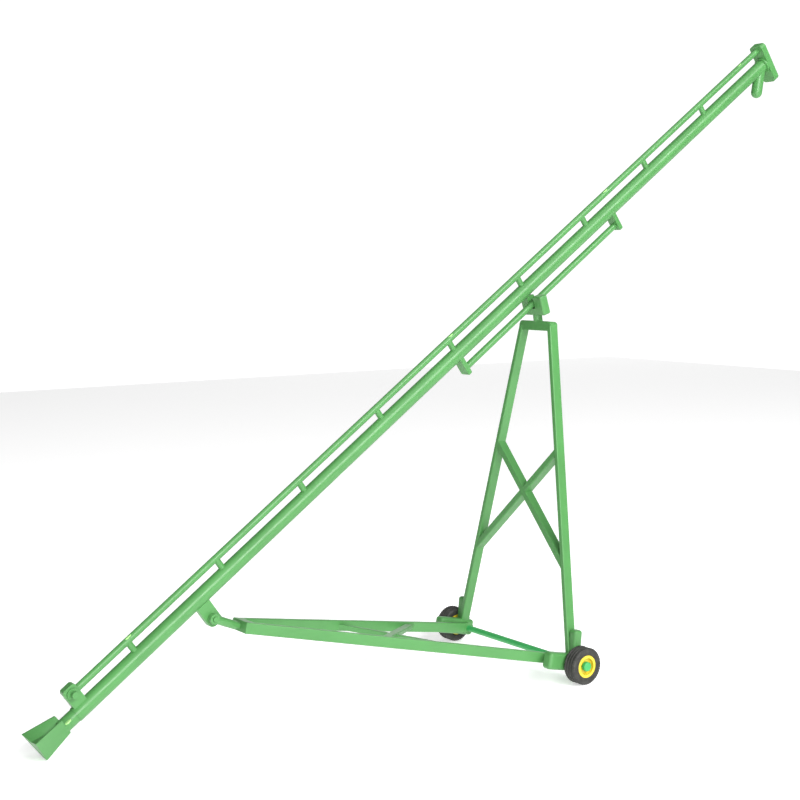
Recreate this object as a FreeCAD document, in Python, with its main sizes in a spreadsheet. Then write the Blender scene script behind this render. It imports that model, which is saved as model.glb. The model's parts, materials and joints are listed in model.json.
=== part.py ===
"""Small moulded grain auger: a long boom with an intake hopper at its foot and a discharge head
at its top, held up by a wheeled A-frame undercarriage whose fork slides under the boom.

Frame: +X runs from the hopper towards the head, +Y is the left side, +Z is up, in millimetres.
The origin is on the floor, midway along the length and the width.
"""
import FreeCAD, Part
import math
import os
import Sketcher
from FreeCAD import Placement, Rotation, Vector

# Driving dimensions: cell alias, value, meaning. Lengths are millimetres, angles are degrees.
SIZES = [
    ("axle_x", 18.66, "axle centre, ahead of the origin"),
    ("tyre_radius", 4.96, "tyre radius, which is also the axle's height"),
    # boom, in its own frame: x along the tube from the first post, z square to it
    ("boom_pitch", 35.31, "angle of the boom above the floor"),
    ("boom_back", 113.42, "first post's tube centre, behind the axle"),
    ("boom_height", 19.97, "first post's tube centre, above the floor"),
    ("post_pitch", 28.6, "spacing of the posts along the tube"),
    ("tube_dia", 3.82, "auger tube"),
    ("tube_start", -19.4, "lower end of the auger tube"),
    ("tube_end", 258.8, "upper end of the auger tube"),
    ("intake_dia", 3.5, "slightly thinner intake tube"),
    ("intake_start", -23.6, "lower end of the intake tube, inside the hopper"),
    ("shaft_dia", 1.74, "drive shaft above the tube"),
    ("shaft_offset", 4.72, "drive shaft centre above the tube centre"),
    ("shaft_start", -15.5, "drive shaft's lower end, at the gearbox"),
    ("post_dia", 1.63, "shaft post"),
    ("hopper_mouth_x", -30.59, "open end of the hopper"),
    ("hopper_length", 7.8, "hopper along the tube"),
    ("hopper_neck_half", 2.2, "half width of the hopper's neck at its top"),
    ("hopper_mouth_half", 4.35, "half width of the hopper's mouth at its top"),
    ("hopper_sole_half", 1.25, "half width of the hopper's sole"),
    ("hopper_neck_top", 2.45, "neck top above the tube centre"),
    ("hopper_mouth_top", 3.65, "mouth top above the tube centre"),
    ("hopper_neck_sole", -1.8, "neck sole below the tube centre"),
    ("hopper_mouth_sole", -2.8, "mouth sole below the tube centre"),
    ("hopper_wall", 0.5, "width of the hopper's side walls at the top"),
    ("hopper_neck_deep", 2.3, "depth of the trough at the neck"),
    ("hopper_mouth_deep", 0.9, "depth of the trough at the mouth"),
    ("gearbox_x", -17.1, "gearbox centre along the tube"),
    ("gearbox_long", 3.6, "gearbox along the tube"),
    ("gearbox_wide", 2.0, "gearbox across the tube"),
    ("gearbox_top", 6.8, "gearbox top above the tube centre"),
    ("gearbox_round", 0.8, "gearbox corner radius"),
    ("input_dia", 1.6, "input stub shaft"),
    ("input_long", 1.6, "input stub shaft's projection"),
    ("input_up", 4.8, "input stub shaft centre above the tube centre"),
    ("collar_dia", 2.9, "collar at the stub shaft's root"),
    ("collar_long", 0.35, "collar length"),
    ("head_tall", 12.2, "discharge head, square to the tube"),
    ("head_wide", 4.6, "discharge head across the tube"),
    ("head_thick", 2.1, "discharge head along the tube"),
    ("head_low", -6.0, "bottom of the discharge head"),
    ("head_round", 1.0, "discharge head corner radius"),
    ("flange_dia", 4.7, "flange that seats the tube in the head"),
    ("flange_long", 0.7, "flange length"),
    ("spout_dia", 3.3, "discharge spout"),
    ("spout_long", 9.6, "spout from the tube centre to its rounded tip"),
    ("spout_x", 257.6, "where the spout meets the tube centre"),
    ("spout_angle", 44.0, "angle between the spout and the tube below it"),
    ("track_drop", -4.77, "track rod centre below the tube centre"),
    ("track_dia", 1.78, "track rod"),
    ("track_low_x", 113.7, "lower face of the lower track bracket"),
    ("track_high_x", 180.4, "lower face of the upper track bracket"),
    ("plate_thick", 1.3, "track bracket along the tube"),
    ("plate_wide", 3.2, "track bracket across the tube"),
    ("plate_drop", -6.55, "bottom of a track bracket below the tube centre"),
    ("plate_round", 0.6, "track bracket corner radius"),
    ("hitch_x", 17.4, "lower edge of the hitch plate"),
    ("hitch_long", 3.8, "hitch plate along the tube"),
    ("hitch_thick", 1.7, "hitch plate across the tube"),
    ("hitch_drop", -8.1, "bottom of the hitch plate below the tube centre"),
    ("hitch_round", 1.5, "hitch plate corner radius"),
    ("pivot_x", 19.1, "hitch pivot along the tube"),
    ("pivot_drop", -5.9, "hitch pivot below the tube centre"),
    ("pin_dia", 1.2, "hitch pin"),
    ("pin_long", 4.1, "hitch pin"),
    ("pin_proud", 0.4, "hitch pin's projection beyond the hitch plate on the left"),
    ("eye_dia", 2.5, "drawbar eye"),
    ("eye_long", 1.5, "drawbar eye across the tube"),
    ("relief_radius", 3.3, "room for the hitch plate to turn beside the drawbar"),
    ("eye_gap", 0.15, "gap between the drawbar eye and the hitch plate"),
    # lower frame, in its plane: distances ahead of the axle towards the hopper
    ("lower_rise", 11.78, "slope of the lower frame's plane"),
    ("bar_deep", 2.8, "depth of the frame bars, square to their frame's plane"),
    ("bar_wide", 1.4, "width of the frame bars in their frame's plane"),
    ("bar_round", 0.3, "corner radius of the frame bars"),
    ("trim_size", 8.0, "reach of the tool that trims braces flush"),
    ("lower_front", 87.2, "front crossbar centre ahead of the axle"),
    ("lower_front_half", 2.85, "lower leg centre from the middle, at the front"),
    ("lower_back_half", 21.3, "lower leg centre from the middle, at the axle"),
    ("lower_back", 2.2, "back end of a lower leg's bar ahead of the axle"),
    ("eyelet_dia", 3.3, "axle eye of a lower leg"),
    ("bridge_overlap", 0.6, "overlap of a lower leg's bar with the piece that holds its axle eye"),
    ("drawbar_dia", 2.1, "drawbar"),
    ("neck_dia", 1.5, "neck between the drawbar and the front crossbar"),
    ("neck_root", 0.5, "how far the neck's blank starts inside the drawbar"),
    ("drawbar_tip", 1.9, "drawbar's end ahead of the front crossbar's centre"),
    ("lower_brace_wide", 2.0, "lower brace in the frame's plane"),
    ("lower_brace_deep", 1.4, "lower brace square to the frame's plane"),
    ("lower_brace_front", 52.5, "front ends of the lower braces ahead of the axle"),
    ("lower_brace_back", 24.7, "back ends of the lower braces ahead of the axle"),
    ("lower_brace_high", 0.2, "centre of the upper of the two lower braces"),
    ("lower_brace_low", -0.25, "centre of the lower of the two lower braces"),
    # upright frame, in its plane: distances up from the axle
    ("upright_lean", 5.42, "lean of the upright frame towards the head"),
    ("upright_top", 88.27, "top crossbar centre above the axle"),
    ("crossbar_long", 13.0, "top crossbar"),
    ("crossbar_deep", 2.6, "top crossbar, square section"),
    ("crossbar_round", 1.25, "top crossbar corner radius"),
    ("leg_top_half", 5.8, "upright leg centre from the middle, at the crossbar"),
    ("leg_foot_half", 23.2, "upright leg centre from the middle, at its foot"),
    ("leg_foot", 1.4, "foot of an upright leg above the axle"),
    ("brace_top", 54.7, "upper ends of the upright braces above the axle"),
    ("brace_foot", 24.6, "lower ends of the upright braces above the axle"),
    ("brace_wide", 1.8, "width of the upright braces in their frame's plane"),
    ("fork_x", 7.24, "fork centre, from the axle towards the head"),
    ("fork_z", 98.63, "fork centre above the floor"),
    ("fork_tilt", 17.4, "tilt of the fork towards the hopper"),
    ("fork_wide", 8.6, "fork across the boom"),
    ("fork_thick", 2.6, "fork along the boom"),
    ("fork_tall", 5.4, "fork height"),
    ("fork_round", 0.5, "fork corner radius"),
    ("slot_wide", 2.3, "slot for the track rod"),
    ("slot_floor", -0.72, "slot floor below the fork centre"),
    ("stem_dia", 2.5, "stem under the fork"),
    ("stem_root", 0.5, "how far the stem's blank reaches into the fork and the crossbar"),
    # wheel brackets
    ("bracket_rise", 12.1, "slope of a wheel bracket"),
    ("bracket_tall", 4.5, "wheel bracket height"),
    ("bracket_ahead", 9.1, "front end of a wheel bracket ahead of the axle"),
    ("bracket_behind", 3.0, "back end of a wheel bracket behind the axle"),
    ("bracket_inner", 22.1, "inner face of a wheel bracket from the middle"),
    ("bracket_wide", 3.2, "wheel bracket across the machine"),
    ("bracket_round", 0.9, "wheel bracket corner radius"),
    ("arm_inner", 22.7, "inner face of a bracket arm from the middle"),
    ("arm_wide", 2.7, "bracket arm across the machine"),
    ("arm_deep", 2.7, "bracket arm along the machine"),
    ("arm_base", 1.0, "foot of a bracket arm above the axle"),
    ("arm_top", 8.6, "top of a bracket arm above the axle"),
    ("arm_offset", 0.35, "bracket arm centre ahead of the frame's plane, towards the head"),
    # axle and wheels
    ("axle_dia", 1.7, "axle"),
    ("axle_long", 58.0, "axle, end to end"),
    ("running_gap", 0.05, "radial clearance of a running fit"),
    ("tyre_centre", 27.82, "tyre centre from the middle"),
    ("tyre_wide", 4.16, "tyre width"),
    ("tyre_bore", 2.95, "bore radius of a tyre, which is also its rim's radius"),
    ("tyre_round", 1.1, "tyre shoulder radius"),
    ("groove_wide", 0.38, "tread groove width"),
    ("groove_deep", 0.42, "tread groove depth"),
    ("groove_pitch", 0.95, "spacing of the tread grooves"),
    ("rim_wide", 3.7, "rim width"),
    ("dish_radius", 2.25, "radius of the rim's recess"),
    ("dish_deep", 0.95, "depth of the rim's recess"),
    ("cap_dia", 2.5, "hub cap"),
    ("cap_thick", 1.1, "hub cap thickness"),
    ("cap_round", 0.35, "hub cap edge radius"),
    ("side_gap", 0.1, "sideways gap beside a wheel"),
]
S = {alias: value for alias, value, _ in SIZES}
POSTS = 9
SIDES = {"left": 1, "right": -1}
X_DIR, Y_DIR, Z_DIR = Vector(1, 0, 0), Vector(0, 1, 0), Vector(0, 0, 1)

doc = FreeCAD.newDocument("grain_auger")
sheet = doc.addObject("Spreadsheet::Sheet", "Sizes")
for row, (alias, value, meaning) in enumerate(SIZES, start=1):
    sheet.set(f"A{row}", meaning)
    sheet.set(f"B{row}", str(value))
    sheet.setAlias(f"B{row}", alias)
doc.recompute()

AXLE = Vector(S["axle_x"], 0, S["tyre_radius"])
# The three sub-assemblies' own frames
BOOM = Placement(Vector(S["axle_x"] - S["boom_back"], 0, S["boom_height"]), Rotation(-Y_DIR, S["boom_pitch"]))
LOWER = Placement(AXLE, Rotation(Y_DIR, S["lower_rise"]))
UPRIGHT = Placement(AXLE, Rotation(Y_DIR, S["upright_lean"]))
FORK = Placement(Vector(S["axle_x"] + S["fork_x"], 0, S["fork_z"]), Rotation(-Y_DIR, S["fork_tilt"]))
nodes = {}


def keep(piece, label):
    """Name a finished sub-part and list it for writing."""
    piece.Label = label
    nodes[label] = piece
    return piece


def bind(piece, **cells):
    """Tie properties to expressions over the sheet's cells."""
    for name, text in cells.items():
        piece.setExpression(name, text)
    return piece


def cell(alias):
    return f"Sizes.{alias}"


def rod(name, radius, length, frame, start, direction):
    """Round bar from start along direction."""
    piece = doc.addObject("Part::Cylinder", name)
    bind(piece, Radius=radius, Height=length)
    piece.Placement = frame * Placement(start, Rotation(Z_DIR, direction))
    return piece


def cut(name, base, *tools):
    """The base less each tool."""
    for number, tool in enumerate(tools):
        result = doc.addObject("Part::Cut", f"{name}_cut{number}")
        result.Base = base
        result.Tool = tool
        base = result
    return base


def fuse(name, *pieces):
    """One solid of several overlapping pieces."""
    result = doc.addObject("Part::MultiFuse", f"{name}_fuse")
    result.Shapes = list(pieces)
    result.Refine = True
    return result


def origin_plane(body, role):
    return [feature for feature in body.Origin.OriginFeatures if feature.Role == role][0]


def rectangle(body, name, wide, high, value_wide, value_high):
    """Sketch of a rectangle centred on the body's origin, in its XY plane."""
    sketch = body.newObject("Sketcher::SketchObject", name)
    sketch.AttachmentSupport = (origin_plane(body, "XY_Plane"), [""])
    sketch.MapMode = "FlatFace"
    half_w, half_h = value_wide / 2, value_high / 2
    corners = [Vector(x * half_w, y * half_h) for x, y in ((-1, -1), (1, -1), (1, 1), (-1, 1))]
    for number in range(4):
        sketch.addGeometry(Part.LineSegment(corners[number], corners[(number + 1) % 4]))
    for number in range(4):
        sketch.addConstraint(Sketcher.Constraint("Coincident", number, 2, (number + 1) % 4, 1))
    for number in (0, 2):
        sketch.addConstraint(Sketcher.Constraint("Horizontal", number))
    for number in (1, 3):
        sketch.addConstraint(Sketcher.Constraint("Vertical", number))
    sketch.addConstraint(Sketcher.Constraint("Symmetric", 0, 1, 2, 1, -1, 1))
    for axis, line, text, size in (("X", 0, wide, value_wide), ("Y", 1, high, value_high)):
        index = sketch.addConstraint(Sketcher.Constraint(f"Distance{axis}", line, 1, line, 2, size))
        sketch.renameConstraint(index, f"size{axis}")
        sketch.setExpression(f"Constraints.size{axis}", text)
    return sketch


def block(name, size, values, radius, rounded, frame):
    """Block with its base centred on the frame's origin, rising along the frame's Z.

    size holds the three expressions, values their three starting numbers, and rounded(edge)
    says which edges get the radius.
    """
    body = doc.addObject("PartDesign::Body", name)
    sketch = rectangle(body, f"{name}_outline", size[0], size[1], values[0], values[1])
    pad = body.newObject("PartDesign::Pad", f"{name}_pad")
    pad.Profile = sketch
    pad.Length = values[2]
    bind(pad, Length=size[2])
    sketch.Visibility = False
    doc.recompute()
    names = [f"Edge{i}" for i, edge in enumerate(pad.Shape.Edges, start=1) if rounded(edge)]
    fillet = body.newObject("PartDesign::Fillet", f"{name}_round")
    fillet.Base = (pad, names)
    fillet.Radius = 0.1
    bind(fillet, Radius=radius)
    body.Placement = frame
    return body


def round_block(name, radius, value, thick, rounding, rounded, frame):
    """Round disc with its base centred on the frame's origin, rising along the frame's Z.

    radius is the expression and value its starting number; rounded(edge) says which edges
    get the rounding.
    """
    body = doc.addObject("PartDesign::Body", name)
    sketch = body.newObject("Sketcher::SketchObject", f"{name}_outline")
    sketch.AttachmentSupport = (origin_plane(body, "XY_Plane"), [""])
    sketch.MapMode = "FlatFace"
    sketch.addGeometry(Part.Circle(Vector(), Z_DIR, value))
    sketch.addConstraint(Sketcher.Constraint("Coincident", 0, 3, -1, 1))
    index = sketch.addConstraint(Sketcher.Constraint("Radius", 0, value))
    sketch.renameConstraint(index, "radius")
    sketch.setExpression("Constraints.radius", radius)
    pad = body.newObject("PartDesign::Pad", f"{name}_pad")
    pad.Profile = sketch
    bind(pad, Length=thick)
    doc.recompute()
    names = [f"Edge{i}" for i, edge in enumerate(pad.Shape.Edges, start=1) if rounded(edge)]
    fillet = body.newObject("PartDesign::Fillet", f"{name}_round")
    fillet.Base = (pad, names)
    bind(fillet, Radius=rounding)
    body.Placement = frame
    return body


def direction_of(edge):
    return (edge.Vertexes[1].Point - edge.Vertexes[0].Point).normalize()


def along(axis):
    """Edge rule: edges parallel to the axis."""
    return lambda edge: abs(direction_of(edge).dot(axis)) > 0.99


def every(edge):
    return True


def frame_bar(name, frame, start, end, wide, deep, span, shift="0"):
    """Straight bar in the frame's YZ plane, or its XY plane when both ends have z = 0.

    span is the expression for its length; the bar's depth is square to the frame's plane.
    """
    way = (end - start).normalize()
    normal = X_DIR if abs(way.z) > 1e-6 or abs(start.z) > 1e-6 else Z_DIR
    turn = Rotation(normal.cross(way), normal, way, "ZYX")
    size = (wide, deep, span)
    values = (S["bar_wide"], S["bar_deep"], (end - start).Length)
    return block(name, size, values, cell("bar_round"), along(Z_DIR), frame * Placement(start, turn))


def outside(name, frame, start, end, sign, span):
    """Everything beyond a leg's inner face: the tool that trims the braces flush with the leg."""
    way = (end - start).normalize()
    normal = Z_DIR if abs(way.z) < 1e-6 else X_DIR
    outward = normal.cross(way)
    outward = outward * (1 if outward.y * sign > 0 else -1)
    tool = doc.addObject("Part::Box", name)
    bind(tool, Length=cell("trim_size"), Width=cell("trim_size"), Height=span)
    turn = Rotation(outward, way.cross(outward), way, "ZXY")
    corner = start - outward * (S["bar_wide"] / 2) - way.cross(outward) * (S["trim_size"] / 2)
    tool.Placement = frame * Placement(corner, turn)
    return tool


def hypot(run, rise):
    """Expression for the length of a slanted bar."""
    return f"sqrt(({run}) * ({run}) + ({rise}) * ({rise}))"


# ------------------------------------------------------------------ boom

def make_tubes():
    """Auger tube, and the slightly thinner intake tube below it."""
    tube = rod("auger_tube", "Sizes.tube_dia / 2", "Sizes.tube_end - Sizes.tube_start",
               BOOM, Vector(S["tube_start"], 0, 0), X_DIR)
    intake = rod("intake_tube", "Sizes.intake_dia / 2", "Sizes.tube_start - Sizes.intake_start",
                 BOOM, Vector(S["intake_start"], 0, 0), X_DIR)
    return keep(tube, "auger_tube"), keep(intake, "intake_tube")


def section_sketch(body, name, offset, points):
    """Closed outline square to the tube at the given distance along it, from a few corner expressions."""
    sketch = body.newObject("Sketcher::SketchObject", name)
    sketch.AttachmentSupport = (origin_plane(body, "YZ_Plane"), [""])
    sketch.MapMode = "FlatFace"
    bind(sketch, **{"AttachmentOffset.Base.z": offset})
    count = len(points)
    corners = [Vector(y, z) for (_, _), (y, z) in points]
    for number in range(count):
        sketch.addGeometry(Part.LineSegment(corners[number], corners[(number + 1) % count]))
    for number in range(count):
        sketch.addConstraint(Sketcher.Constraint("Coincident", number, 2, (number + 1) % count, 1))
    for number, (texts, values) in enumerate(points):
        for axis, text, value in (("X", texts[0], values[0]), ("Y", texts[1], values[1])):
            index = sketch.addConstraint(Sketcher.Constraint(f"Distance{axis}", -1, 1, number, 1, value))
            sketch.renameConstraint(index, f"corner{number}{axis}")
            sketch.setExpression(f"Constraints.corner{number}{axis}", text)
    sketch.Visibility = False
    return sketch


def hopper_outline(end):
    """Corners of the hopper's outside at the neck or the mouth."""
    half, sole = f"hopper_{end}_half", "hopper_sole_half"
    top, bottom = f"hopper_{end}_top", f"hopper_{end}_sole"
    return [((f"-Sizes.{half}", cell(top)), (-S[half], S[top])),
            ((f"-Sizes.{sole}", cell(bottom)), (-S[sole], S[bottom])),
            ((cell(sole), cell(bottom)), (S[sole], S[bottom])),
            ((cell(half), cell(top)), (S[half], S[top]))]


def trough_outline(end):
    """Corners of the V-shaped trough in the hopper's top, a little proud of it."""
    half, top, deep = f"hopper_{end}_half", f"hopper_{end}_top", f"hopper_{end}_deep"
    inner = S[half] - S["hopper_wall"]
    return [((f"-(Sizes.{half} - Sizes.hopper_wall)", cell(top)), (-inner, S[top])),
            (("0", f"Sizes.{top} - Sizes.{deep}"), (0, S[top] - S[deep])),
            ((f"Sizes.{half} - Sizes.hopper_wall", cell(top)), (inner, S[top]))]


def make_hopper(intake):
    """Flared intake hopper with a V-shaped trough leading to the intake tube."""
    body = doc.addObject("PartDesign::Body", "hopper_body")
    neck_x = "Sizes.hopper_mouth_x + Sizes.hopper_length"
    outer = [section_sketch(body, "neck", neck_x, hopper_outline("neck")),
             section_sketch(body, "mouth", cell("hopper_mouth_x"), hopper_outline("mouth"))]
    loft = body.newObject("PartDesign::AdditiveLoft", "hopper_shell")
    loft.Profile = outer[0]
    loft.Sections = [outer[1]]
    loft.Ruled = True
    doc.recompute()
    solid_volume = loft.Shape.Volume
    inner = [section_sketch(body, "trough_neck", neck_x, trough_outline("neck")),
             section_sketch(body, "trough_mouth", cell("hopper_mouth_x"), trough_outline("mouth"))]
    trough = body.newObject("PartDesign::SubtractiveLoft", "hopper_trough")
    trough.Profile = inner[0]
    trough.Sections = [inner[1]]
    trough.Ruled = True
    body.Placement = BOOM
    doc.recompute()
    if trough.Shape.Volume > solid_volume - 1:
        raise RuntimeError("the hopper's trough cuts nothing")
    return keep(cut("intake_hopper", body, intake), "intake_hopper")


def make_gearbox(tube):
    """Drive gearbox standing on the tube, its collar and its input stub shaft."""
    frame = BOOM * Placement(Vector(S["gearbox_x"], 0, 0), Rotation())
    size = (cell("gearbox_long"), cell("gearbox_wide"), cell("gearbox_top"))
    values = (S["gearbox_long"], S["gearbox_wide"], S["gearbox_top"])

    def top_rim(edge):
        return all(vertex.Z > values[2] - 0.01 for vertex in edge.Vertexes) and along(Y_DIR)(edge)

    housing = block("gearbox_block", size, values, cell("gearbox_round"), top_rim, frame)
    root = Vector(S["gearbox_x"], -S["gearbox_wide"] / 2, S["input_up"])
    collar = rod("collar", "Sizes.collar_dia / 2", cell("collar_long"), BOOM, root, -Y_DIR)
    stub = rod("input_stub", "Sizes.input_dia / 2", "Sizes.input_long - Sizes.collar_long", BOOM,
               root - Y_DIR * S["collar_long"], -Y_DIR)
    intake = nodes["intake_tube"]
    keep(cut("drive_gearbox", housing, tube, intake), "drive_gearbox")
    keep(collar, "input_collar")
    keep(stub, "input_stub")


def make_shaft_and_posts(tube):
    """Drive shaft along the top of the boom, on a row of round posts."""
    shaft = rod("drive_shaft_bar", "Sizes.shaft_dia / 2", "Sizes.tube_end - Sizes.shaft_start", BOOM,
                Vector(S["shaft_start"], 0, S["shaft_offset"]), X_DIR)
    gearbox = nodes["drive_gearbox"]
    shaft = keep(cut("drive_shaft", shaft, gearbox), "drive_shaft")
    for number in range(POSTS):
        blank = rod(f"post_blank_{number + 1}", "Sizes.post_dia / 2", cell("shaft_offset"), BOOM,
                    Vector(number * S["post_pitch"], 0, 0), Z_DIR)
        keep(cut(f"post_{number + 1}", blank, tube, shaft), f"shaft_post_{number + 1}")


def make_head(tube):
    """Discharge head: a rounded case square to the tube, its flange and the round-ended spout."""
    frame = BOOM * Placement(Vector(S["tube_end"] + S["head_thick"] / 2, 0, S["head_low"]), Rotation())
    size = (cell("head_thick"), cell("head_wide"), cell("head_tall"))
    values = (S["head_thick"], S["head_wide"], S["head_tall"])
    case = keep(block("head_case", size, values, cell("head_round"), along(X_DIR), frame), "head_case")
    flange = rod("flange_blank", "Sizes.flange_dia / 2", cell("flange_long"), BOOM,
                 Vector(S["tube_end"] - S["flange_long"], 0, 0), X_DIR)
    shaft = nodes["drive_shaft"]
    flange = keep(cut("head_flange", flange, tube, shaft), "head_flange")

    angle = math.radians(S["spout_angle"])
    way = Vector(-math.cos(angle), 0, -math.sin(angle))
    start = Vector(S["spout_x"], 0, 0)
    straight = rod("spout_straight", "Sizes.spout_dia / 2", "Sizes.spout_long - Sizes.spout_dia / 2",
                   BOOM, start, way)
    tip = doc.addObject("Part::Sphere", "spout_tip")
    bind(tip, Radius="Sizes.spout_dia / 2")
    tip.Placement = BOOM * Placement(start + way * (S["spout_long"] - S["spout_dia"] / 2), Rotation())
    spout = fuse("spout", straight, tip)
    keep(cut("discharge_spout", spout, tube, case, flange), "discharge_spout")


def make_track(tube):
    """Track rod under the tube, between two bracket plates."""
    frame_x = {"lower": "track_low_x", "upper": "track_high_x"}
    plates = {}
    for place, alias in frame_x.items():
        frame = BOOM * Placement(Vector(S[alias] + S["plate_thick"] / 2, 0, S["plate_drop"]), Rotation())
        size = (cell("plate_thick"), cell("plate_wide"), "-Sizes.plate_drop")
        values = (S["plate_thick"], S["plate_wide"], -S["plate_drop"])

        def bottom_rim(edge):
            return all(vertex.Z < 0.01 for vertex in edge.Vertexes)

        plate = block(f"track_plate_{place}", size, values, cell("plate_round"), bottom_rim, frame)
        plates[place] = keep(cut(f"track_bracket_{place}", plate, tube), f"track_bracket_{place}")
    start = Vector(S["track_low_x"] + S["plate_thick"], 0, S["track_drop"])
    keep(rod("track_rod", "Sizes.track_dia / 2", "Sizes.track_high_x - Sizes.track_low_x - Sizes.plate_thick",
             BOOM, start, X_DIR), "track_rod")


def make_hitch(tube):
    """Hitch plate under the boom's foot, and the pin that the drawbar turns on."""
    frame = BOOM * Placement(Vector(S["hitch_x"] + S["hitch_long"] / 2, 0, S["hitch_drop"]), Rotation())
    size = (cell("hitch_long"), cell("hitch_thick"), "-Sizes.hitch_drop")
    values = (S["hitch_long"], S["hitch_thick"], -S["hitch_drop"])

    def lower_corner(edge):
        return along(Y_DIR)(edge) and edge.Vertexes[0].Z < 0.01 and edge.Vertexes[0].X < 0

    plate = block("hitch_blank", size, values, cell("hitch_round"), lower_corner, frame)
    pin_start = Vector(S["pivot_x"], S["hitch_thick"] / 2 + S["pin_proud"] - S["pin_long"], S["pivot_drop"])
    pin = rod("hitch_pin", "Sizes.pin_dia / 2", cell("pin_long"), BOOM, pin_start, Y_DIR)
    keep(pin, "hitch_pin")
    keep(cut("hitch_plate", plate, tube, pin), "hitch_plate")


# ------------------------------------------------------------------ lower frame

def make_lower_frame():
    """Front crossbar, two long legs to the axle and two crossed braces."""
    crossbar_long = "2 * Sizes.lower_front_half + Sizes.bar_wide"
    frame = LOWER * Placement(Vector(-S["lower_front"], 0, -S["bar_deep"] / 2), Rotation())
    size = (cell("bar_deep"), crossbar_long, cell("bar_deep"))
    values = (S["bar_deep"], 2 * S["lower_front_half"] + S["bar_wide"], S["bar_deep"])
    crossbar = keep(block("front_crossbar", size, values, cell("bar_round"), every, frame), "front_crossbar")

    trims = []
    run = "Sizes.lower_front - Sizes.lower_back"
    spread = "(Sizes.lower_back_half - Sizes.lower_front_half) * (Sizes.lower_front - Sizes.lower_back)"
    spread = f"{spread} / Sizes.lower_front"
    for side, sign in SIDES.items():
        start = lower_point(S["lower_back"], sign)
        end = lower_point(S["lower_front"], sign)
        blank = frame_bar(f"lower_leg_{side}_bar", LOWER, start, end, cell("bar_wide"), cell("bar_deep"),
                          hypot(run, spread))
        eyelet = rod(f"eyelet_{side}", "Sizes.eyelet_dia / 2", cell("bar_wide"), LOWER,
                     Vector(0, sign * S["lower_back_half"] - S["bar_wide"] / 2, 0), Y_DIR)
        eye_middle = Vector(0, sign * S["lower_back_half"], 0)
        bridge_start = eye_middle - X_DIR * (S["lower_back"] + S["bridge_overlap"])
        bridge = frame_bar(f"lower_leg_{side}_bridge", LOWER, bridge_start, eye_middle, cell("bar_wide"),
                           cell("bar_deep"), "Sizes.lower_back + Sizes.bridge_overlap")
        hole = rod(f"eyelet_hole_{side}", "Sizes.axle_dia / 2", "Sizes.bar_wide * 3", LOWER,
                   Vector(0, sign * S["lower_back_half"] - S["bar_wide"] * 1.5, 0), Y_DIR)
        solid = fuse(f"lower_leg_{side}", blank, bridge, eyelet)
        keep(cut(f"lower_leg_{side}", solid, hole, crossbar), f"lower_leg_{side}")
        trims.append(outside(f"lower_trim_{side}", LOWER, start, end, sign, hypot(run, spread)))

    braces = []
    for level, sign in (("high", -1), ("low", 1)):
        front = lower_point(S["lower_brace_front"], sign)
        back = lower_point(S["lower_brace_back"], -sign)
        lift = Vector(0, 0, S[f"lower_brace_{level}"])
        front_half, back_half = [half_at(S[f"lower_brace_{end}"]) for end in ("front", "back")]
        span = hypot("Sizes.lower_brace_front - Sizes.lower_brace_back", f"{front_half} + {back_half}")
        way = (back - front).normalize()
        turn = Rotation(Z_DIR.cross(way), Z_DIR, way, "ZYX")
        size = (cell("lower_brace_wide"), cell("lower_brace_deep"), span)
        values = (S["lower_brace_wide"], S["lower_brace_deep"], (back - front).Length)
        bar = block(f"lower_brace_{level}_bar", size, values, cell("bar_round"), along(Z_DIR),
                    LOWER * Placement(front + lift, turn))
        braces.append(cut(f"lower_brace_{level}", bar, *trims))
    keep(braces[0], "lower_brace_upper")
    keep(cut("lower_brace_lap", braces[1], braces[0]), "lower_brace_lower")
    return crossbar


def half_at(ahead):
    """A lower leg's centre from the middle, at a distance ahead of the axle."""
    taper = (S["lower_back_half"] - S["lower_front_half"]) / S["lower_front"]
    return S["lower_back_half"] - taper * ahead


def lower_point(ahead, sign):
    return Vector(-ahead, sign * half_at(ahead), 0)


def make_drawbar(crossbar):
    """Drawbar with an eye on the hitch pin, and the thinner neck into the front crossbar."""
    pivot = BOOM.multVec(Vector(S["pivot_x"], 0, S["pivot_drop"]))
    eye_y = -(S["hitch_thick"] / 2 + S["eye_gap"] + S["eye_long"])
    world = Placement()
    eye = rod("drawbar_eye", "Sizes.eye_dia / 2", cell("eye_long"), world,
              Vector(pivot.x, eye_y, pivot.z), Y_DIR)
    hole = rod("drawbar_hole", "Sizes.pin_dia / 2 + Sizes.running_gap", "Sizes.eye_long * 3", world,
               Vector(pivot.x, eye_y - S["eye_long"], pivot.z), Y_DIR)
    centre = Vector(pivot.x, eye_y + S["eye_long"] / 2, pivot.z)
    tip = LOWER.multVec(Vector(-S["lower_front"] - S["bar_deep"] / 2 - S["drawbar_tip"] / 2, 0, 0))
    bar = rod("drawbar_bar", "Sizes.drawbar_dia / 2", f"{(tip - centre).Length}", world, centre, tip - centre)
    clear = rod("drawbar_relief", cell("relief_radius"), "Sizes.hitch_thick + 2 * Sizes.eye_gap", world,
                Vector(pivot.x, -S["hitch_thick"] / 2 - S["eye_gap"], pivot.z), Y_DIR)
    solid = fuse("drawbar", eye, bar)
    keep(cut("drawbar", solid, hole, clear), "drawbar")
    neck_end = LOWER.multVec(Vector(-S["lower_front"], 0, 0))
    neck_way = (neck_end - tip).normalize()
    neck_long = f"{(neck_end - tip).Length} + Sizes.neck_root"
    neck = rod("drawbar_neck_blank", "Sizes.neck_dia / 2", neck_long, world,
               tip - neck_way * S["neck_root"], neck_way)
    keep(cut("drawbar_neck", neck, nodes["drawbar"], crossbar), "drawbar_neck")


# ------------------------------------------------------------------ upright frame

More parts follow.
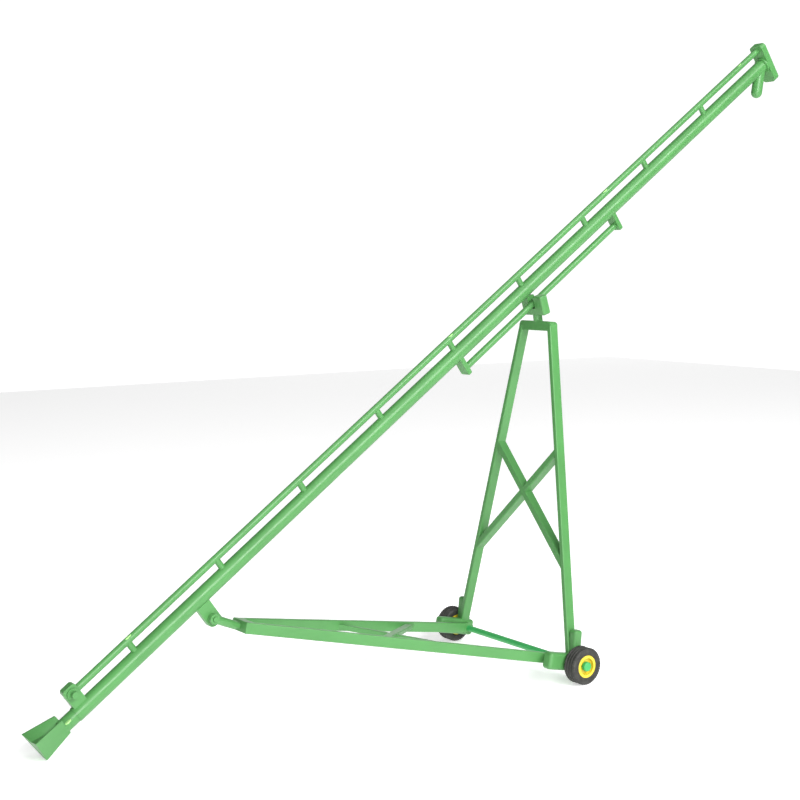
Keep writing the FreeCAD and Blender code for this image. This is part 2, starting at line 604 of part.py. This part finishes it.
def leg_point(height, sign):
    """A point on an upright leg's centre line."""
    taper = (S["leg_foot_half"] - S["leg_top_half"]) / (S["upright_top"] - S["leg_foot"])
    return Vector(0, sign * (S["leg_foot_half"] - taper * (height - S["leg_foot"])), height)


def make_brackets():
    """Wheel bracket on each side: a rounded block on the axle with a short arm beside the leg."""
    brackets, arms = {}, {}
    for side, sign in SIDES.items():
        middle = S["bracket_inner"] + S["bracket_wide"] / 2
        slope = Placement(AXLE, Rotation(Y_DIR, S["bracket_rise"]))
        centre = Vector((S["bracket_behind"] - S["bracket_ahead"]) / 2, sign * middle, -S["bracket_tall"] / 2)
        size = ("Sizes.bracket_ahead + Sizes.bracket_behind", cell("bracket_wide"), cell("bracket_tall"))
        values = (S["bracket_ahead"] + S["bracket_behind"], S["bracket_wide"], S["bracket_tall"])
        box = block(f"bracket_box_{side}", size, values, cell("bracket_round"), every,
                    slope * Placement(centre, Rotation()))
        hole = rod(f"bracket_hole_{side}", "Sizes.axle_dia / 2 + Sizes.running_gap", "Sizes.bracket_wide * 3",
                   UPRIGHT, Vector(0, sign * middle - S["bracket_wide"] * 1.5, 0), Y_DIR)
        bracket = keep(cut(f"wheel_bracket_{side}", box, hole), f"wheel_bracket_{side}")
        arm_foot = Vector(S["arm_offset"], sign * (S["arm_inner"] + S["arm_wide"] / 2), S["arm_base"])
        arm_frame = UPRIGHT * Placement(arm_foot, Rotation())
        size = (cell("arm_deep"), cell("arm_wide"), "Sizes.arm_top - Sizes.arm_base")
        values = (S["arm_deep"], S["arm_wide"], S["arm_top"] - S["arm_base"])

        def arm_edges(edge):
            return edge.BoundBox.ZMax > values[2] - 0.01

        blank = block(f"bracket_arm_{side}_blank", size, values, cell("gearbox_round"), arm_edges, arm_frame)
        arms[side] = keep(cut(f"bracket_arm_{side}", blank, bracket), f"bracket_arm_{side}")
        brackets[side] = bracket
    return brackets, arms


def make_upright(brackets, arms):
    """Top crossbar, two splayed legs and two crossed braces with a lap joint."""
    frame = UPRIGHT * Placement(Vector(0, 0, S["upright_top"] - S["crossbar_deep"] / 2), Rotation())
    size = (cell("crossbar_deep"), cell("crossbar_long"), cell("crossbar_deep"))
    values = (S["crossbar_deep"], S["crossbar_long"], S["crossbar_deep"])

    def top_corners(edge):
        return edge.BoundBox.YLength < 0.01 and (along(X_DIR)(edge) and edge.BoundBox.ZMax > values[2] - 0.01)

    crossbar = keep(block("upright_crossbar", size, values, cell("crossbar_round"), top_corners, frame),
                    "upright_crossbar")
    trims = []
    rise = "Sizes.upright_top - Sizes.leg_foot"
    for side, sign in SIDES.items():
        foot, top = leg_point(S["leg_foot"], sign), leg_point(S["upright_top"], sign)
        span = hypot("Sizes.leg_foot_half - Sizes.leg_top_half", rise)
        blank = frame_bar(f"upright_leg_{side}_bar", UPRIGHT, foot, top, cell("bar_wide"),
                          cell("bar_deep"), span)
        keep(cut(f"upright_leg_{side}", blank, crossbar, brackets[side], arms[side]), f"upright_leg_{side}")
        trims.append(outside(f"upright_trim_{side}", UPRIGHT, foot, top, sign, span))
    bars = []
    for name, sign in (("a", 1), ("b", -1)):
        top, foot = leg_point(S["brace_top"], sign), leg_point(S["brace_foot"], -sign)
        reach = f"{abs(top.y - foot.y)}"
        bar = frame_bar(f"upright_brace_{name}_bar", UPRIGHT, foot, top, cell("brace_wide"), cell("bar_deep"),
                        hypot(reach, "Sizes.brace_top - Sizes.brace_foot"))
        bars.append(cut(f"upright_brace_{name}", bar, *trims))
    lap = doc.addObject("Part::Box", "lap")
    bind(lap, Length=cell("bar_deep"), Width="Sizes.brace_wide * 4", Height="Sizes.brace_wide * 4")
    top, foot = leg_point(S["brace_top"], 1), leg_point(S["brace_foot"], -1)
    cross_z = top.z - (top.z - foot.z) * top.y / (top.y - foot.y)
    lap_corner = Vector(0, -S["brace_wide"] * 2, cross_z - S["brace_wide"] * 2)
    lap.Placement = UPRIGHT * Placement(lap_corner, Rotation())
    crossing = doc.addObject("Part::Common", "crossing")
    crossing.Base = lap
    crossing.Tool = bars[0]
    brace_b = cut("brace_b_lap", bars[1], crossing)
    keep(cut("brace_a_lap", bars[0], brace_b), "upright_brace_a")
    keep(brace_b, "upright_brace_b")
    return crossbar


def make_fork(crossbar):
    """Fork that straddles the track rod, on a stem that stands on the crossbar."""
    frame = FORK * Placement(Vector(0, 0, -S["fork_tall"] / 2), Rotation())
    size = (cell("fork_thick"), cell("fork_wide"), cell("fork_tall"))
    values = (S["fork_thick"], S["fork_wide"], S["fork_tall"])
    blank = block("fork_blank", size, values, cell("fork_round"), every, frame)
    slot = doc.addObject("Part::Box", "slot")
    bind(slot, Length="Sizes.fork_thick * 2", Width=cell("slot_wide"), Height=cell("fork_tall"))
    slot_corner = Vector(-S["fork_thick"], -S["slot_wide"] / 2, S["slot_floor"])
    slot.Placement = FORK * Placement(slot_corner, Rotation())
    fork = keep(cut("track_fork", blank, slot), "track_fork")
    foot = UPRIGHT.multVec(Vector(0, 0, S["upright_top"] + S["crossbar_deep"] / 2 - S["stem_root"]))
    top = FORK.multVec(Vector(0, 0, S["stem_root"] - S["fork_tall"] / 2))
    stem = rod("stem_blank", "Sizes.stem_dia / 2", f"{(top - foot).Length}", Placement(), foot, top - foot)
    keep(cut("fork_stem", stem, crossbar, fork), "fork_stem")


# ------------------------------------------------------------------ axle and wheels

def make_axle():
    """Axle through both brackets, with a rounded hub cap outside each wheel."""
    start = Vector(0, -S["axle_long"] / 2, 0)
    keep(rod("axle", "Sizes.axle_dia / 2", cell("axle_long"), LOWER, start, Y_DIR), "axle")

    def outer_edge(edge):
        return edge.BoundBox.ZMin > S["cap_thick"] - 0.01

    for side, sign in SIDES.items():
        root = Vector(0, sign * S["axle_long"] / 2, 0)
        frame = LOWER * Placement(root, Rotation(Z_DIR, Y_DIR * sign))
        cap = round_block(f"hub_cap_{side}_body", "Sizes.cap_dia / 2", S["cap_dia"] / 2,
                          cell("cap_thick"), cell("cap_round"), outer_edge, frame)
        keep(cap, f"hub_cap_{side}")


def make_wheels():
    """A dished rim and a grooved tyre on each side, turning on the axle."""

    def round_edge(edge):
        return len(edge.Vertexes) == 1

    for side, sign in SIDES.items():
        middle = sign * S["tyre_centre"]
        frame = LOWER * Placement(Vector(0, middle - S["tyre_wide"] / 2, 0), Rotation(Z_DIR, Y_DIR))
        blank = round_block(f"tyre_{side}_blank", cell("tyre_radius"), S["tyre_radius"],
                            cell("tyre_wide"), cell("tyre_round"), round_edge, frame)
        tools = [rod(f"tyre_bore_{side}", cell("tyre_bore"), "Sizes.tyre_wide * 2", LOWER,
                     Vector(0, middle - S["tyre_wide"], 0), Y_DIR)]
        for number in (-1, 0, 1):
            groove_y = middle + number * S["groove_pitch"] - S["groove_wide"] / 2
            ring = rod(f"groove_{side}_{number + 1}", "Sizes.tyre_radius * 2", cell("groove_wide"), LOWER,
                       Vector(0, groove_y, 0), Y_DIR)
            core = rod(f"groove_core_{side}_{number + 1}", "Sizes.tyre_radius - Sizes.groove_deep",
                       cell("groove_wide"), LOWER, Vector(0, groove_y, 0), Y_DIR)
            tools.append(cut(f"groove_ring_{side}_{number + 1}", ring, core))
        keep(cut(f"tyre_{side}", blank, *tools), f"tyre_{side}")

        disc = rod(f"rim_disc_{side}", cell("tyre_bore"), cell("rim_wide"), LOWER,
                   Vector(0, middle - S["rim_wide"] / 2, 0), Y_DIR)
        bore = rod(f"rim_bore_{side}", "Sizes.axle_dia / 2 + Sizes.running_gap", "Sizes.rim_wide * 2", LOWER,
                   Vector(0, middle - S["rim_wide"], 0), Y_DIR)
        dish_starts = (middle - S["rim_wide"] / 2, middle + S["rim_wide"] / 2 - S["dish_deep"])
        dishes = [rod(f"rim_dish_{side}_{number}", cell("dish_radius"), cell("dish_deep"), LOWER,
                      Vector(0, start, 0), Y_DIR) for number, start in enumerate(dish_starts)]
        keep(cut(f"rim_{side}", disc, bore, *dishes), f"rim_{side}")


def write_parts():
    """Check every object and sub-part, then write one file for each sub-part."""
    doc.recompute()
    failed = [piece.Name for piece in doc.Objects if "Invalid" in piece.State or "Error" in piece.State]
    if failed:
        raise RuntimeError(f"objects that did not build: {failed}")
    os.makedirs("parts", exist_ok=True)
    for label, piece in nodes.items():
        shape = piece.Shape
        if piece.Label != label or shape.isNull() or not shape.isValid() or len(shape.Solids) != 1:
            raise RuntimeError(f"{label}: {piece.Label}, {len(shape.Solids)} solids, valid {shape.isValid()}")
    for label, piece in nodes.items():
        piece.Shape.exportStep(f"parts/{label}.step")
        print(f"{label}: {piece.Shape.Volume:.2f} mm3")


auger_tube, intake_tube = make_tubes()
make_hopper(intake_tube)
make_gearbox(auger_tube)
make_shaft_and_posts(auger_tube)
make_head(auger_tube)
make_track(auger_tube)
make_hitch(auger_tube)
make_drawbar(make_lower_frame())
make_fork(make_upright(*make_brackets()))
make_axle()
make_wheels()
write_parts()
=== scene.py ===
"""Looks of the small moulded grain auger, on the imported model: semi-gloss green plastic, yellow
rims, dark ribbed tyres and the light marks where the moulding sprues were cut off.

Metres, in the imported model's frame: +X from the hopper to the head, +Y left, +Z up.
"""
import json
import math

import bmesh
import bpy
from mathutils import Matrix, Vector, noise


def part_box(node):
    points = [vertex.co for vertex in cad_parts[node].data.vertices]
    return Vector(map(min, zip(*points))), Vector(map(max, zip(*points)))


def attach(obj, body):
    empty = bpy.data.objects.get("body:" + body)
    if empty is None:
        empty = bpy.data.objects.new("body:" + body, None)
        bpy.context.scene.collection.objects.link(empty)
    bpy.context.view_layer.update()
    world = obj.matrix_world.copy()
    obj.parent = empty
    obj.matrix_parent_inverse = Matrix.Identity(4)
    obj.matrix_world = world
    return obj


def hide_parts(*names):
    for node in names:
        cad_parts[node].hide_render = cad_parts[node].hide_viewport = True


MM = 0.001
NOISE_LOW, NOISE_HIGH = 0.3, 0.7   # a noise texture's usual spread
WHITE = (1, 1, 1, 1)

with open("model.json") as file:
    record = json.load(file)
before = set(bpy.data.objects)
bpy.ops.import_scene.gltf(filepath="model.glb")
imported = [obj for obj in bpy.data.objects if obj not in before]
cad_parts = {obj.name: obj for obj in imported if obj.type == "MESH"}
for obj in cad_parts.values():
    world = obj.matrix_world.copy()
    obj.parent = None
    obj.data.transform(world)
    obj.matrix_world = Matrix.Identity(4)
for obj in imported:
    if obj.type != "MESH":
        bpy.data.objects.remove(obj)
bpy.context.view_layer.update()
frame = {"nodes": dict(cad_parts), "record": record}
nodes = frame["nodes"]


# ---------------------------------------------------------------- materials

class Shader:
    """A material's node tree, with short calls that add a node and join it up."""

    def __init__(self, name, roughness, specular=0.5):
        self.material = bpy.data.materials.new(name)
        self.material.use_nodes = True
        self.tree = self.material.node_tree
        self.principled = self.tree.nodes["Principled BSDF"]
        self.principled.inputs["Roughness"].default_value = roughness
        self.principled.inputs["Specular IOR Level"].default_value = specular
        self.place = self.add("ShaderNodeTexCoord").outputs["Object"]

    def add(self, kind):
        return self.tree.nodes.new(kind)

    def join(self, output, target):
        self.tree.links.new(output, target)

    def noise(self, grain, detail=3.0):
        """Noise whose features are about grain metres across."""
        texture = self.add("ShaderNodeTexNoise")
        texture.inputs["Scale"].default_value = 1 / grain
        texture.inputs["Detail"].default_value = detail
        self.join(self.place, texture.inputs["Vector"])
        return texture.outputs["Fac"]

    def ramp(self, factor, low, high):
        """Colour by factor, between two (position, colour) stops."""
        node = self.add("ShaderNodeValToRGB")
        for element, (position, colour) in zip(node.color_ramp.elements, (low, high)):
            element.position = position
            element.color = (*colour, 1)
        self.join(factor, node.inputs["Fac"])
        return node.outputs["Color"]

    def remap(self, factor, low, high):
        """Noise across its usual spread becomes low to high."""
        node = self.add("ShaderNodeMapRange")
        node.inputs["From Min"].default_value = NOISE_LOW
        node.inputs["From Max"].default_value = NOISE_HIGH
        node.inputs["To Min"].default_value = low
        node.inputs["To Max"].default_value = high
        self.join(factor, node.inputs["Value"])
        return node.outputs["Result"]

    def bump(self, *layers):
        """Bump layers of (height output, depth in metres), the last one on top."""
        normal = None
        for height, depth in layers:
            node = self.add("ShaderNodeBump")
            node.inputs["Distance"].default_value = depth
            self.join(height, node.inputs["Height"])
            if normal:
                self.join(normal, node.inputs["Normal"])
            normal = node.outputs["Normal"]
        self.join(normal, self.principled.inputs["Normal"])


def shades(colour, spread):
    """The colour a little darker and a little lighter."""
    return tuple(c * (1 - spread) for c in colour), tuple(min(1, c * (1 + spread)) for c in colour)


# Sizes of the plastic's features, and the depths of its ripples and grain
DRIFT = 14 * MM
DRIFT_LOW, DRIFT_HIGH = 0.35, 0.65   # noise levels of the darker and the lighter shade
SMEAR = 2.2 * MM
RIPPLE = 3.5 * MM
RIPPLE_DEEP = 0.04 * MM
SATIN = 0.22 * MM
SATIN_DEEP = 0.0008 * MM


def moulded_plastic(name, colour, low_rough, high_rough, spread=0.05, satin_deep=SATIN_DEEP):
    """Injection-moulded plastic: slow colour drift, flow ripples, and a fine satin grain."""
    shader = Shader(name, roughness=(low_rough + high_rough) / 2)
    dark, light = shades(colour, spread)
    drift = shader.noise(DRIFT, detail=2)
    shader.join(shader.ramp(drift, (DRIFT_LOW, dark), (DRIFT_HIGH, light)),
                shader.principled.inputs["Base Color"])
    smear = shader.noise(SMEAR, detail=4)
    shader.join(shader.remap(smear, low_rough, high_rough), shader.principled.inputs["Roughness"])
    waves = shader.noise(RIPPLE, detail=1)
    satin = shader.noise(SATIN, detail=3)
    shader.bump((waves, RIPPLE_DEEP), (satin, satin_deep))
    return shader.material


TYRE_DARK = (0.026, 0.026, 0.024)
TYRE_DUSTY = (0.055, 0.055, 0.050)
TYRE_PATCH = 1.6 * MM
TYRE_SHEEN = 0.7 * MM                 # size of its shinier and duller spots
TYRE_SMOOTH, TYRE_ROUGH = 0.48, 0.72
TYRE_LUMP, TYRE_LUMP_DEEP = 0.9 * MM, 0.05 * MM
TYRE_GRAIN, TYRE_GRAIN_DEEP = 0.12 * MM, 0.012 * MM


def soft_tyre(name):
    """Dark grey soft plastic with dusty patches."""
    shader = Shader(name, roughness=0.6, specular=0.35)
    patches = shader.noise(TYRE_PATCH, detail=5)
    shader.join(shader.ramp(patches, (NOISE_LOW, TYRE_DARK), (NOISE_HIGH, TYRE_DUSTY)),
                shader.principled.inputs["Base Color"])
    sheen = shader.noise(TYRE_SHEEN)
    shader.join(shader.remap(sheen, TYRE_SMOOTH, TYRE_ROUGH), shader.principled.inputs["Roughness"])
    shader.bump((shader.noise(TYRE_LUMP), TYRE_LUMP_DEEP), (shader.noise(TYRE_GRAIN), TYRE_GRAIN_DEEP))
    return shader.material


# Linear colours
GREEN = (0.082, 0.272, 0.077)
PIN_GREEN = (0.048, 0.390, 0.105)
RIM_YELLOW = (0.720, 0.560, 0.035)
CUT_GREEN = (0.400, 0.760, 0.260)

looks = {
    "green_plastic": moulded_plastic("moulded_green", GREEN, 0.30, 0.44),
    "pin_plastic": moulded_plastic("moulded_pin_green", PIN_GREEN, 0.34, 0.50, spread=0.10,
                                   satin_deep=0.004 * MM),
    "rim_plastic": moulded_plastic("moulded_yellow", RIM_YELLOW, 0.26, 0.38),
    "tyre_rubber": soft_tyre("soft_tyre"),
}
cut_plastic = moulded_plastic("cut_green", CUT_GREEN, 0.40, 0.60, spread=0.10, satin_deep=0.032 * MM)

for part in frame["record"]["subparts"]:
    mesh = nodes[part["node"]].data
    mesh.materials.clear()
    mesh.materials.append(looks[part["material_slot"]])


def solid_from(shape, name, material):
    """A smooth-shaded object made from a bmesh, which is then freed."""
    for face in shape.faces:
        face.smooth = True
    mesh = bpy.data.meshes.new(name)
    shape.to_mesh(mesh)
    shape.free()
    mesh.materials.append(material)
    solid = bpy.data.objects.new(name, mesh)
    bpy.context.scene.collection.objects.link(solid)
    return solid


# ------------------------------------------------------------ tyres

GROOVE_PITCH = 0.95 * MM
GROOVE_DEEP = 0.42 * MM
GROOVE_FLOOR, GROOVE_LIP = 0.13 * MM, 0.22 * MM   # half widths at the bottom and the top
SHOULDER = 0.80 * MM
SHOULDER_STEPS = 7
FOOT_SHARE, BEAD_SHARE = 0.86, 0.97   # of half the width, at the bore and just above it
BEAD_RISE = 0.25 * MM
SIDE_RING = 0.12 * MM                 # depth of the rings moulded in the side
SIDE_RINGS = 5
SIDE_START, SIDE_PITCH = 0.40 * MM, 0.14 * MM   # first ring's height above the bore, and spacing
LUGS = 44
LUG_HEIGHT = 0.10 * MM
LUG_RISE = 0.6                        # share of the shoulder over which the lugs rise
LUG_INNER, LUG_BLEND = 0.24, 0.1      # shares of the width: where the lugs start, and their blend
AROUND = 264


def centre_of(node):
    low, high = (Vector(corner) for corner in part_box(node))
    return (low + high) / 2


def size_of(node):
    low, high = (Vector(corner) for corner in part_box(node))
    return high - low


def ramp_up(value, start, span):
    """0 up to start, rising to 1 at start + span."""
    return max(0.0, min(1.0, (value - start) / span))


def tyre_section(radius, bore, wide):
    """A tyre's cross-section as (across, radius) points, from the bore over the crown to the bore."""
    half = wide / 2
    crown = radius - LUG_HEIGHT
    outline = [(-half * FOOT_SHARE, bore), (-half * BEAD_SHARE, bore + BEAD_RISE)]
    for step in range(SIDE_RINGS):
        outline.append((-half + SIDE_RING * (step % 2), bore + SIDE_START + SIDE_PITCH * step))
    for step in range(SHOULDER_STEPS + 1):
        turn = math.pi / 2 * step / SHOULDER_STEPS
        outline.append((-half + SHOULDER * (1 - math.cos(turn)), crown - SHOULDER * (1 - math.sin(turn))))
    left_side = outline.copy()
    for groove in (-1, 0, 1):
        middle = groove * GROOVE_PITCH
        for across, depth in ((-GROOVE_LIP, 0), (-GROOVE_FLOOR, GROOVE_DEEP), (GROOVE_FLOOR, GROOVE_DEEP),
                              (GROOVE_LIP, 0)):
            outline.append((middle + across, crown - depth))
    right_side = [(-across, r) for across, r in reversed(left_side)]
    return outline + right_side


def make_tyre(side):
    """Ribbed tyre with shoulder lugs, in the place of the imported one."""
    node = f"tyre_{side}"
    hub, size = centre_of(node), size_of(node)
    radius, wide = size.z / 2, size.y
    bore = (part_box(f"rim_{side}")[1][2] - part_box(f"rim_{side}")[0][2]) / 2
    section = tyre_section(radius, bore, wide)
    shape = bmesh.new()
    rings = []
    for turn in range(AROUND):
        angle = 2 * math.pi * turn / AROUND
        lug = LUG_HEIGHT * 0.5 * (1 + math.cos(LUGS * angle))
        ring = []
        for across, r in section:
            shoulder = ramp_up(r, radius - SHOULDER, LUG_RISE * SHOULDER)
            edge = ramp_up(abs(across), wide * LUG_INNER, wide * LUG_BLEND)
            out = r + lug * shoulder * edge
            spot = Vector((out * math.cos(angle), across, out * math.sin(angle)))
            ring.append(shape.verts.new(hub + spot))
        rings.append(ring)
    count = len(section)
    for turn in range(AROUND):
        here, there = rings[turn], rings[(turn + 1) % AROUND]
        for point in range(count):
            after = (point + 1) % count
            shape.faces.new((here[point], here[after], there[after], there[point]))
    bmesh.ops.recalc_face_normals(shape, faces=shape.faces)
    tyre = solid_from(shape, f"ribbed_tyre_{side}", looks["tyre_rubber"])
    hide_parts(node)
    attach(tyre, f"wheel_{side}")


for side in ("left", "right"):
    make_tyre(side)


# ------------------------------------------------------------ cut sprue marks

SCAR_ROUGH, SCAR_DETAIL = 0.32, 5   # how ragged a scar is, and how fine
SCAR_FLAT = 0.22                    # where its top is cut flat, as a share of its size


def cut_mark(name, place, along, up, size, body, seed):
    """A low, ragged scar of lighter plastic, size = (long, wide, tall), that rides on a body."""
    along, up = along.normalized(), up.normalized()
    across = up.cross(along)
    turn = Matrix((along, across, up)).transposed().to_4x4()
    shape = bmesh.new()
    bmesh.ops.create_icosphere(shape, subdivisions=4, radius=0.5)
    for vert in shape.verts:
        rough = 1 + SCAR_ROUGH * noise.noise(vert.co * SCAR_DETAIL + Vector((seed, seed, seed)))
        flat = min(SCAR_FLAT, vert.co.z)
        reach = Vector((vert.co.x * size[0], vert.co.y * size[1], flat * size[2]))
        vert.co = reach * rough
    shape.transform(Matrix.Translation(place) @ turn)
    mark = solid_from(shape, name, cut_plastic)
    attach(mark, body)


RAIL_CUTS = (0.02, 4.04, 6.39, 8.73)   # in post spacings from the first post
RAIL_SCAR = (2.0 * MM, 0.8 * MM, 0.6 * MM)
RAIL_SCAR_UP, RAIL_SCAR_RIGHT = 0.80, 0.25   # shares of the shaft's radius
LAST_POST = 9

first_post, last_post = centre_of("shaft_post_1"), centre_of(f"shaft_post_{LAST_POST}")
post_step = (last_post - first_post) / (LAST_POST - 1)
boom_way = post_step.normalized()
boom_up = Vector((-boom_way.z, 0, boom_way.x))
shaft_radius = size_of("drive_shaft").y / 2
shaft_up = (centre_of("drive_shaft") - first_post).dot(boom_up)
for index, spacing in enumerate(RAIL_CUTS, start=1):
    place = first_post + post_step * spacing + boom_up * (shaft_up + shaft_radius * RAIL_SCAR_UP)
    place += Vector((0, -shaft_radius * RAIL_SCAR_RIGHT, 0))
    cut_mark(f"rail_cut_{index}", place, boom_way, boom_up, RAIL_SCAR, "boom", seed=index * 3.1)

HOPPER_SCAR = (1.6 * MM, 0.9 * MM, 0.7 * MM)
HOPPER_SCAR_FROM_NECK = Vector((-0.9 * MM, 0, -0.7 * MM))
HOPPER_SCAR_SIDE = 1.9 * MM

neck = Vector(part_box("intake_hopper")[1])
neck.y = -HOPPER_SCAR_SIDE
cut_mark("hopper_cut", neck + HOPPER_SCAR_FROM_NECK, boom_way, boom_up, HOPPER_SCAR, "boom", seed=17.3)

LEG_SCAR = (1.3 * MM, 0.9 * MM, 0.5 * MM)
LEG_SCAR_HEIGHT = 0.60   # share of the leg's height
LEG_SCAR_FRONT = Vector((-1.3 * MM, 0, 0))

leg_low, leg_high = (Vector(corner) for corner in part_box("upright_leg_right"))
leg_way = (leg_high - leg_low).normalized()
leg_place = leg_low.lerp(leg_high, LEG_SCAR_HEIGHT) + LEG_SCAR_FRONT
cut_mark("leg_cut", leg_place, leg_way, Vector((-1, 0, 0)), LEG_SCAR, "upright", seed=23.9)


# ------------------------------------------------------------ floor, light and camera

FLOOR_SIZE = 1.8
FLOOR_DROP = 0.00005   # keeps the floor just clear of the tyres
FLOOR_COLOUR = (0.93, 0.93, 0.93, 1)
FLOOR_GLOW = 0.50
BACKDROP = 1.1
AMBIENT = 0.10
LIT_POINT = Vector((0, 0, 0.07))


def studio_material():
    shader = Shader("pale_floor", roughness=0.85, specular=0.1)
    shader.principled.inputs["Base Color"].default_value = FLOOR_COLOUR
    shader.principled.inputs["Emission Color"].default_value = WHITE
    shader.principled.inputs["Emission Strength"].default_value = FLOOR_GLOW
    return shader.material


bpy.ops.mesh.primitive_plane_add(size=FLOOR_SIZE, location=(0, 0, -FLOOR_DROP))
floor = bpy.context.object
floor.name = "floor"
floor.data.materials.append(studio_material())

# The backdrop looks white, while the world lights the model only dimly.
world = bpy.data.worlds.new("studio")
world.use_nodes = True
sky = world.node_tree
seen = sky.nodes["Background"]
seen.inputs["Color"].default_value = WHITE
seen.inputs["Strength"].default_value = BACKDROP
lighting = sky.nodes.new("ShaderNodeBackground")
lighting.inputs["Color"].default_value = WHITE
lighting.inputs["Strength"].default_value = AMBIENT
chooser = sky.nodes.new("ShaderNodeMixShader")
ray = sky.nodes.new("ShaderNodeLightPath")
sky.links.new(ray.outputs["Is Camera Ray"], chooser.inputs["Fac"])
sky.links.new(lighting.outputs["Background"], chooser.inputs[1])
sky.links.new(seen.outputs["Background"], chooser.inputs[2])
sky.links.new(chooser.outputs["Shader"], sky.nodes["World Output"].inputs["Surface"])
bpy.context.scene.world = world


def softbox(name, place, long, wide, power, long_way=Vector((1, 0, 0))):
    """Rectangular light that faces the model, its long side as near long_way as that allows."""
    light = bpy.data.lights.new(name, "AREA")
    light.shape = "RECTANGLE"
    light.size = long
    light.size_y = wide
    light.energy = power
    lamp = bpy.data.objects.new(name, light)
    back = (Vector(place) - LIT_POINT).normalized()
    side = (long_way - back * long_way.dot(back)).normalized()
    turn = Matrix((side, back.cross(side), back)).transposed().to_4x4()
    lamp.matrix_world = Matrix.Translation(place) @ turn
    bpy.context.scene.collection.objects.link(lamp)


# The key's long side slants up towards the head, to stretch its reflection along the tube.
softbox("key", (0.02, -0.74, 0.55), long=0.95, wide=0.26, power=10.5, long_way=Vector((0.65, 0.21, 0.34)))
softbox("front", (-0.55, -0.70, 0.20), long=0.40, wide=0.40, power=2.8)
softbox("overhead", (-0.10, -0.15, 1.20), long=0.70, wide=0.70, power=3)
softbox("back", (0.95, 1.30, 0.35), long=1.20, wide=1.20, power=4)

CAMERA_PLACE = (-0.23873, -0.30965, 0.11190)
CAMERA_HEADING = 54.734   # degrees from +X towards +Y
CAMERA_PITCH = -5.538     # degrees above the horizon
CAMERA_ROLL = -0.347      # degrees about the line of sight
lens = bpy.data.cameras.new("camera")
lens.sensor_width = 36
lens.lens = 66.39
lens.clip_start = 0.01
lens.clip_end = 50
camera = bpy.data.objects.new("camera", lens)
heading = Matrix.Rotation(math.radians(CAMERA_HEADING - 90), 4, "Z")
pitch = Matrix.Rotation(math.radians(CAMERA_PITCH + 90), 4, "X")
roll = Matrix.Rotation(math.radians(CAMERA_ROLL), 4, "Z")
camera.matrix_world = Matrix.Translation(CAMERA_PLACE) @ heading @ pitch @ roll
bpy.context.scene.collection.objects.link(camera)
bpy.context.scene.camera = camera
bpy.context.scene.view_settings.view_transform = "Standard"
bpy.context.scene.view_settings.look = "None"
